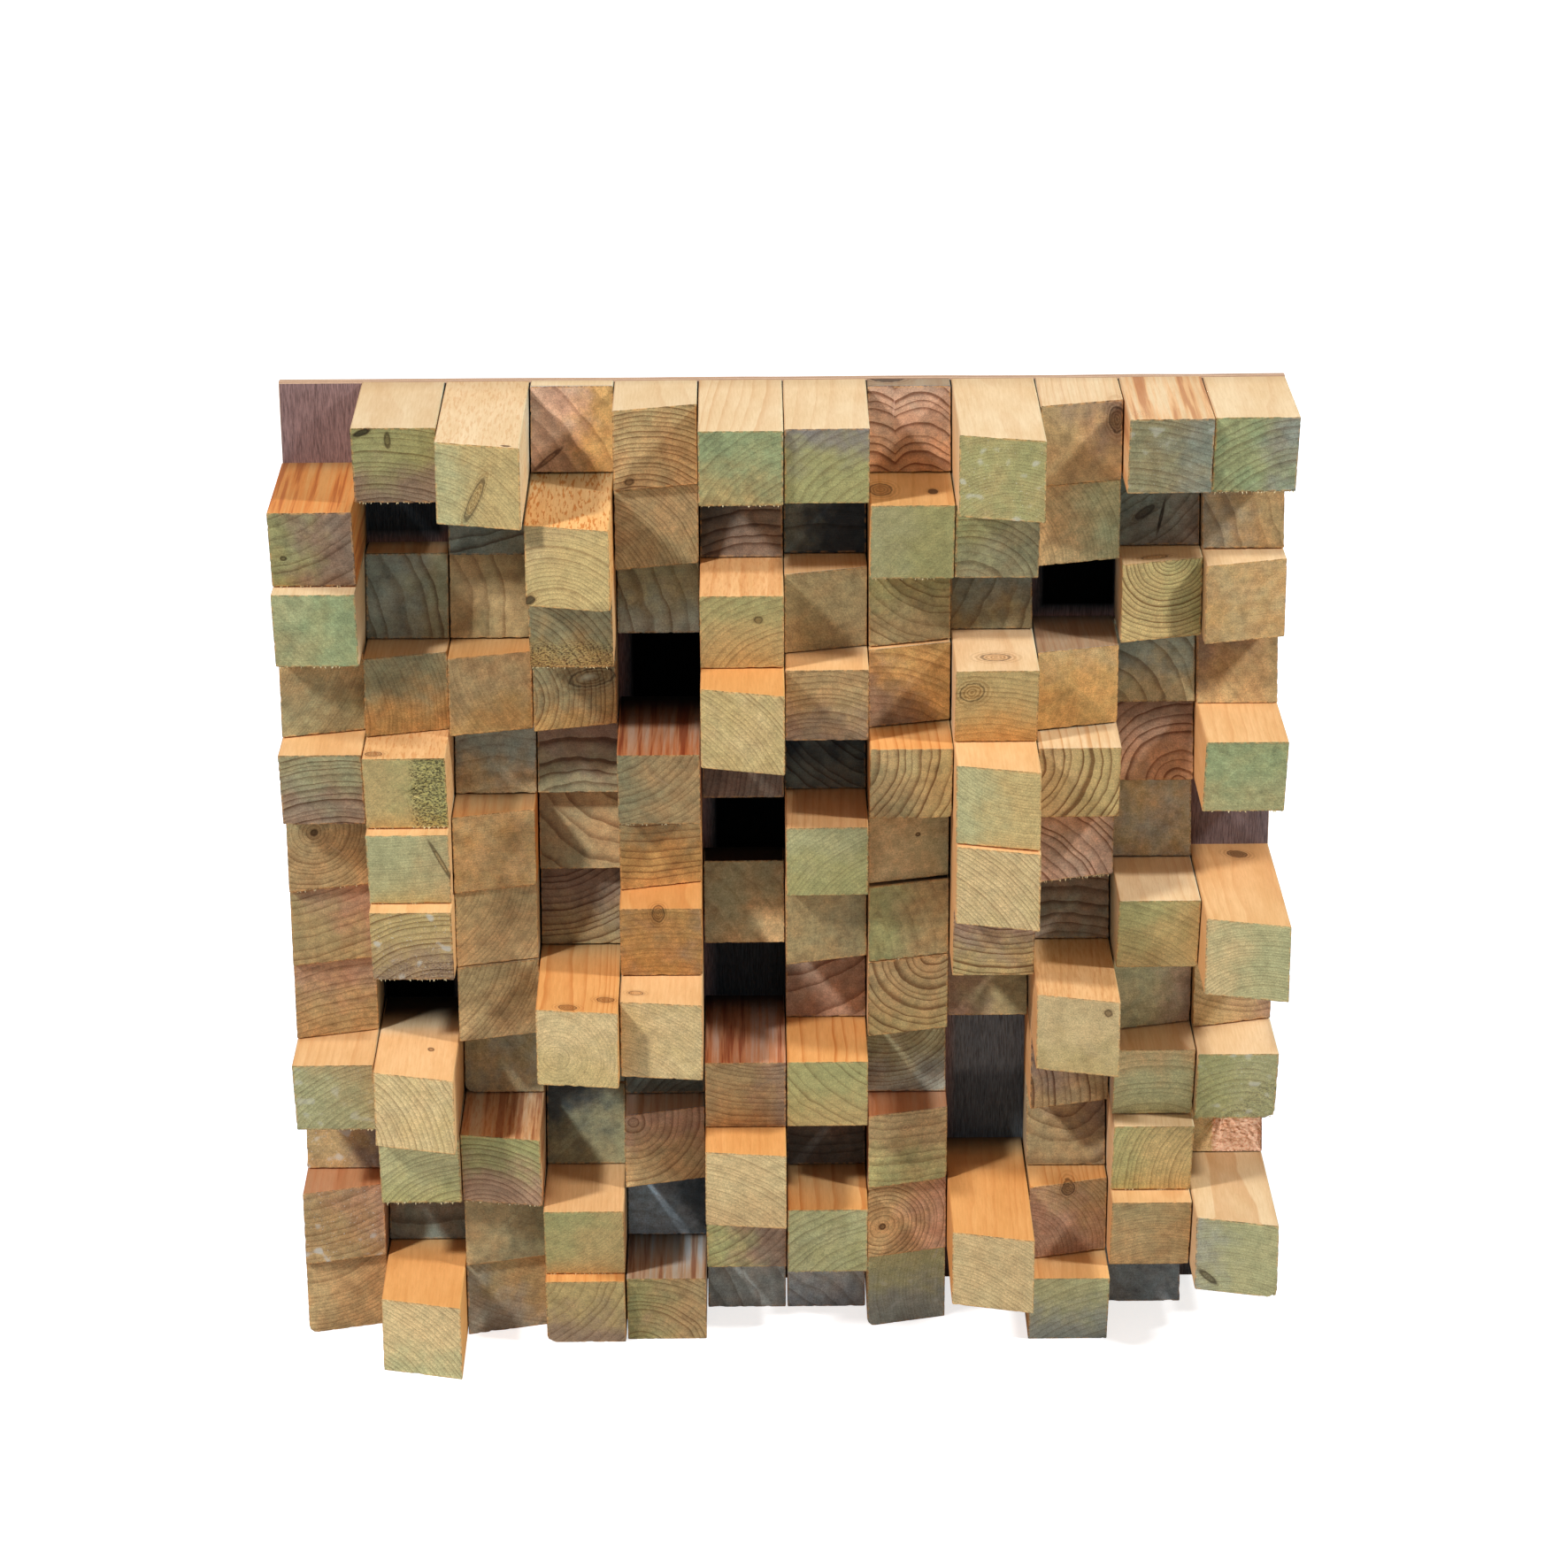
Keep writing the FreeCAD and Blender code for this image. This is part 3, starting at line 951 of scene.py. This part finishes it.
def plywoodMaterial():
    # veneer with upright grain on both faces, and the plies on the edges
    material, tree = newMaterial("plywood")
    x, y, z = [part * 1000.0 for part in objectPlace(tree)]
    onEdge, wellShade, wellShadeGreyness = channels(tree, "boardMarks")
    streaks = noise(join(x, y, z * .07), 2.4, 4, .7)
    pores = noise(join(x * 3.0, y, z * .3), 1.0, 2, .5)
    cloud = noise(join(x, y, z * .3), .03, 3, .5)
    veneer = blend(smooth(streaks, .25, .75), rgb(90, 66, 62), rgb(158, 122, 115))
    veneer = scaled(veneer, grey(smooth(cloud, .3, .7, .86, 1.1)))
    veneer = blend(smooth(pores, .62, .72) * .4, veneer, rgb(80, 56, 52))
    # painted shade on the bare cells: greyer and cooler, then near black
    veneer = tinged(veneer, wellShadeGreyness, (.68, 1.45, 1.85))
    veneer = tinged(veneer, wellShade, (.012, .014, .015))
    ply = calc("FRACT", y * (1 / 2.4))  # a dark and a light ply for every 2.4 mm
    layer = smooth(abs(ply - .5), .2, .3)
    woolly = noise(join(x * .3, y * 3.0, z * .3), 1.0, 3, .6)
    edgeTone = blend(layer, rgb(228, 190, 154), rgb(180, 134, 104))
    edgeTone = scaled(edgeTone, grey(smooth(woolly, .25, .75, .75, 1.08)))
    colour = blend(onEdge, veneer, edgeTone)
    height = streaks + pores * -.6
    gloss = (1.0 - wellShade) * .25
    finishMaterial(colour, smooth(streaks, .3, .7, .7, .5), bump(height, .5, .0002), gloss)
    return material


def floorMaterial():
    # plain white: near the panel the lamps make up the white, so its shadow shows, and farther off it glows
    material, tree = newMaterial("paleFloor")
    path = tree.nodes.new("ShaderNodeLightPath")
    x, y, _ = objectPlace(tree)
    away = calc("SQRT", x * x + y * y)
    seen = tree.nodes.new("ShaderNodeBsdfDiffuse")
    seen.inputs[0].default_value = (.8, .8, .8, 1)
    glow = tree.nodes.new("ShaderNodeEmission")
    glow.inputs[0].default_value = (1, 1, 1, 1)
    feed(glow.inputs[1], smooth(away, .3, 1.0, .72, 1.0))
    both = tree.nodes.new("ShaderNodeAddShader")
    tree.links.new(seen.outputs[0], both.inputs[0])
    tree.links.new(glow.outputs[0], both.inputs[1])
    dull = tree.nodes.new("ShaderNodeBsdfDiffuse")
    dull.inputs[0].default_value = (.6, .6, .6, 1)
    pick = tree.nodes.new("ShaderNodeMixShader")
    tree.links.new(path.outputs["Is Camera Ray"], pick.inputs[0])
    tree.links.new(dull.outputs[0], pick.inputs[1])
    tree.links.new(both.outputs[0], pick.inputs[2])
    output = tree.nodes.new("ShaderNodeOutputMaterial")
    tree.links.new(pick.outputs[0], output.inputs[0])
    return material


blockMaterials = [planedSideMaterial(), sawnEndMaterial(), splinterMaterial()]
print("materials ready")


def blockFacts(name, node):
    # each block of a node: its row, column, lower left and upper right corners, and its sawn end's plane
    row, first, last = [int(part) for part in name.split("_") if part.isdigit()]
    corners = np.empty(len(node.data.vertices) * 3, np.float32)
    node.data.vertices.foreach_get("co", corners)
    corners = corners.reshape(-1, 3).astype(float)
    cellOf = np.floor((corners[:, 0] + halfSide + panel["glueGap"] / 2) / pitch).astype(int) + 1
    for column in range(first, last + 1):
        mine = corners[cellOf == column]
        if not len(mine):
            continue
        low = mine[:, [0, 2]].min(axis=0)
        high = mine[:, [0, 2]].max(axis=0)
        sawn = mine[mine[:, 1] < -panel["board"] - mm]
        sheet = np.column_stack([np.ones(len(sawn)), sawn[:, 0], sawn[:, 2]])
        plane = np.linalg.lstsq(sheet, sawn[:, 1], rcond=None)[0]
        yield row, column, low, high, plane


blockNodes = {
    name: list(blockFacts(name, node)) for name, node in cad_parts.items() if name != "backing_board"
}
reachOf = {}
for facts in blockNodes.values():
    for row, column, low, high, plane in facts:
        centre = (low + high) / 2
        reachOf[row, column] = -planeAt(plane, *centre)

farAway = (900, 900, 0, 1, 1, 1, 0, 0)  # a mark that a block hasn't got, well off its end
cleanTints = ("cream", "sage", "straw", "green", "pink")  # tints with fainter clouds


def blockLooks(key, seed, plane, verts, local, hollow):
    # what the materials read at each point of a block: its tints, rings, marks, pits and painted shade
    tint, second, share, side, *rings = endLook[key]
    pithX, pithZ, spacing, strength, broad = [float(word) for word in rings]
    sideTint, stripes, streaks = [*sideLooks.get(key, ("pine", .25)), 0][:3]
    place = np.random.default_rng(seed + 11)
    reach = (-panel["board"] - planeAt(plane, verts[:, 0], verts[:, 2])) / mm
    # the band next to the board, where glue and painted shade darken the sides
    foot = np.clip(1 - (reach - local[:, 2]) / 5, 0, 1)
    pitWay, pitShare = pitted.get(key, ("o", 0))
    pits = pitShare * np.clip(local[:, :2] @ np.array(compass[pitWay]) / 9, 0, 1)
    raggedness = np.zeros(len(verts))
    if key in roughEnds:
        raggedness = np.clip((local[:, 0] - roughEnds[key][0]) / 6, 0, 1)
    # the block's own random tone, times its listed factor, which is partly painted light
    brightness = place.uniform(.96, 1.04) * paler.get(key, 1)
    one = np.ones(len(verts))
    values = dict(
        local=local,
        tintMain=np.outer(one, tints[tint] * brightness),
        tintPatch=np.outer(one, tints[second] * brightness),
        tintSide=np.outer(one, sideTints[sideTint] * place.uniform(.94, 1.04)),
        patchWay=np.outer(one, [*compass[side], float(share)]),
        pithRing=np.outer(one, [pithX, pithZ, spacing]),
        ringShape=np.outer(one, [strength, broad, place.normal(0, .03)]),
        extras=np.outer(one, [woolly.get(key, 0), cusps.get(key, 0), key in cusps]),
        blockMarks=np.column_stack([one * (seed % 97), one * spotted.get(key, 0), raggedness]),
        sideShape=np.column_stack([one * float(stripes), hollow, foot]),
        sideMarks=np.column_stack([one * float(streaks), pits, one * (.3 if tint in cleanTints else .8)]),
    )
    for number, mark in enumerate((marks.get(key, []) + [farAway, farAway])[:2], start=1):
        turn = math.radians(mark[6])
        values["markPlace%d" % number] = np.outer(one, mark[:3])
        values["markSize%d" % number] = np.outer(one, mark[3:6])
        values["markTone%d" % number] = np.outer(one, [math.cos(turn), math.sin(turn), mark[7]])
    return values


# Blocks, one piece for each node of the part
for name, facts in sorted(blockNodes.items()):
    allVerts, allFaces, allSlots = [], [], []
    layers = {}
    offset = 0
    for row, column, low, high, plane in facts:
        seed = row * 31 + column * 7
        verts, quads, fan, endFace, local, hollow = blockSurface(row, column, low, high, plane, seed)
        faces = quads.tolist() + fan.tolist()
        slots = endFace.astype(int).tolist()
        fibres = splinters(row, column, low, high, plane, seed)
        if fibres:
            spikes, spikeFaces, spikeLocal = fibres
            faces += (spikeFaces + len(verts)).tolist()
            slots += [2] * len(spikeFaces)
            verts = np.concatenate([verts, spikes])
            local = np.concatenate([local, spikeLocal])
            hollow = np.concatenate([hollow, np.zeros(len(spikes))])
        looks = blockLooks((row, column), seed, plane, verts, local, hollow)
        for label, value in looks.items():
            layers.setdefault(label, []).append(value)
        allFaces += [[corner + offset for corner in face] for face in faces]
        allSlots += slots
        allVerts.append(verts)
        offset += len(verts)
    layers = {label: np.concatenate(parts) for label, parts in layers.items()}
    piece = makeMesh("timber_" + name, np.concatenate(allVerts), allFaces, allSlots, layers, blockMaterials)
    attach(piece, "root")
    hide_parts(name)
print("blocks ready")

# The board: flat faces with slightly worn edges
board = dict(wear=0.35 * mm, stepsPerCell=6)


def boardSurface():
    # a square grid for each face, and rings of the grid's outline between them, drawn in where it is worn
    thick = panel["board"]
    wearAndEdgeShade = board["wear"]
    number = panel["cells"] * board["stepsPerCell"] + 1
    ticks = np.linspace(-halfSide + wearAndEdgeShade * 1.5, halfSide - wearAndEdgeShade * 1.5, number)
    x, z = [part.ravel() for part in np.meshgrid(ticks, ticks, indexing="ij")]
    index = np.arange(number * number).reshape(number, number)
    quads = np.stack([index[:-1, :-1], index[1:, :-1], index[1:, 1:], index[:-1, 1:]], -1).reshape(-1, 4)
    outline = np.concatenate([index[:-1, 0], index[-1, :-1], index[:0:-1, -1], index[0, :0:-1]])
    loop = np.column_stack([x[outline], z[outline]])
    count = len(loop)
    wander = valueNoise(np.column_stack([loop / .03, np.zeros(count)]), 4)
    dent = np.clip(wander - .5, 0, 1) * wearAndEdgeShade * 1.5
    outward = np.where(np.abs(loop) > ticks[-1] - 1e-6, np.sign(loop), 0)
    rings = []
    edge = [(-thick + wearAndEdgeShade * .4, wearAndEdgeShade * .3), (-thick * .66, 0), (-thick * .33, 0), (-wearAndEdgeShade * .4, wearAndEdgeShade * .3)]
    for y, inset in edge:
        flat = loop + outward * (wearAndEdgeShade * 1.5 - inset - dent)[:, None]
        rings.append(np.column_stack([flat[:, 0], np.full(count, y), flat[:, 1]]))
    frontVerts = np.column_stack([x, np.full(len(x), -thick), z])
    backVerts = np.column_stack([x, np.zeros(len(x)), z])
    verts = np.concatenate([frontVerts, backVerts] + rings)
    ringAt = 2 * len(x) + np.arange(len(rings) * count).reshape(len(rings), count)
    rows = np.concatenate([outline[None], ringAt, outline[None] + len(x)])
    follow = np.roll(rows, -1, axis=1)
    sides = np.stack([rows[:-1], rows[1:], follow[1:], follow[:-1]], -1).reshape(-1, 4)
    faces = np.concatenate([quads, quads[:, ::-1] + len(x), sides])
    onEdge = np.zeros(len(verts))
    onEdge[2 * len(x):] = 1
    columns = np.clip(((x + halfSide) / pitch).astype(int) + 1, 1, panel["cells"])
    rowsOf = np.clip(((halfSide - z) / pitch).astype(int) + 1, 1, panel["cells"])
    wellShade, wellShadeGreyness = np.zeros(len(verts)), np.zeros(len(verts))
    for cell, (dark, dull) in bareCells.items():
        mine = np.flatnonzero((rowsOf == cell[0]) & (columns == cell[1]))
        wellShade[mine] = dark
        wellShadeGreyness[mine] = dull
    return verts, faces.tolist(), np.column_stack([onEdge, wellShade, wellShadeGreyness])


verts, faces, boardMarks = boardSurface()
marksLayer = dict(boardMarks=boardMarks)
boardPiece = makeMesh("plywood_board", verts, faces, [0] * len(faces), marksLayer, [plywoodMaterial()])
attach(boardPiece, "root")
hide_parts("backing_board")
print("board ready")

# Floor, lamps and world
bpy.ops.mesh.primitive_plane_add(size=14, location=(0, 0, -halfSide))
floor = bpy.context.object
floor.name = "floor"
floor.data.materials.append(floorMaterial())


def aim(thing, right, up, back, place):
    # turns a lamp or camera so that it looks away from its back
    thing.matrix_world = Matrix([*zip(right, up, back, place), (0, 0, 0, 1)])


def lamp(name, place, level, size):
    # a round soft lamp aimed at the panel; at level 1 a colour shows as written where the light falls square
    distance = np.linalg.norm(place)
    data = bpy.data.lights.new(name, "AREA")
    data.shape = "DISK"
    data.size = size
    data.energy = level * math.pi ** 2 * distance ** 2
    light = bpy.data.objects.new(name, data)
    bpy.context.scene.collection.objects.link(light)
    back = np.array(place) / distance
    right = np.cross([0, 0, 1], back)
    right = right / np.linalg.norm(right)
    up = np.cross(back, right)
    aim(light, right, up, back, place)


# Place, level and size of each lamp
lamps = dict(leftLamp=((-1.484, -1.212, 1.729), .72, .28), rightLamp=((1.72, -0.899, 1.774), .54, .28))
for name, (place, level, size) in lamps.items():
    lamp(name, place, level, size)

world = bpy.data.worlds.new("studio")
bpy.context.scene.world = world
world.use_nodes = True
worldTree = world.node_tree
worldTree.nodes.clear()
path = worldTree.nodes.new("ShaderNodeLightPath")
rays = [Value(path.outputs["Is %s Ray" % kind]) for kind in ("Camera", "Transmission", "Glossy")]
looking = calc("MAXIMUM", calc("MAXIMUM", rays[0], rays[1]), rays[2])
sky = worldTree.nodes.new("ShaderNodeBackground")
sky.inputs["Strength"].default_value = 1
feed(sky.inputs["Color"], blend(looking, (.16, .2, .25), (1, 1, 1)))
worldOutput = worldTree.nodes.new("ShaderNodeOutputWorld")
worldTree.links.new(sky.outputs[0], worldOutput.inputs[0])

# Camera where the photograph was taken, a little above and straight in front; angles in radians, lens in mm
view = dict(x=-0.01441, y=-1.89664, z=0.77055, pitch=0.37347, yaw=0.00763, roll=0.0044, lens=105.58)
cosP, sinP = math.cos(view["pitch"]), math.sin(view["pitch"])
cosY, sinY = math.cos(view["yaw"]), math.sin(view["yaw"])
cosR, sinR = math.cos(view["roll"]), math.sin(view["roll"])
right = (cosR * cosY - sinR * sinP * sinY, -cosR * sinY - sinR * sinP * cosY, -sinR * cosP)
up = (sinR * cosY + cosR * sinP * sinY, -sinR * sinY + cosR * sinP * cosY, cosR * cosP)
back = (-cosP * sinY, -cosP * cosY, sinP)
cameraData = bpy.data.cameras.new("camera")
cameraData.lens = view["lens"]
cameraData.sensor_width = 36
cameraData.clip_start, cameraData.clip_end = 0.05, 60
camera = bpy.data.objects.new("camera", cameraData)
bpy.context.scene.collection.objects.link(camera)
aim(camera, right, up, back, (view["x"], view["y"], view["z"]))
bpy.context.scene.camera = camera
bpy.context.scene.view_settings.view_transform = "Standard"

print("lamps, camera and floor ready")
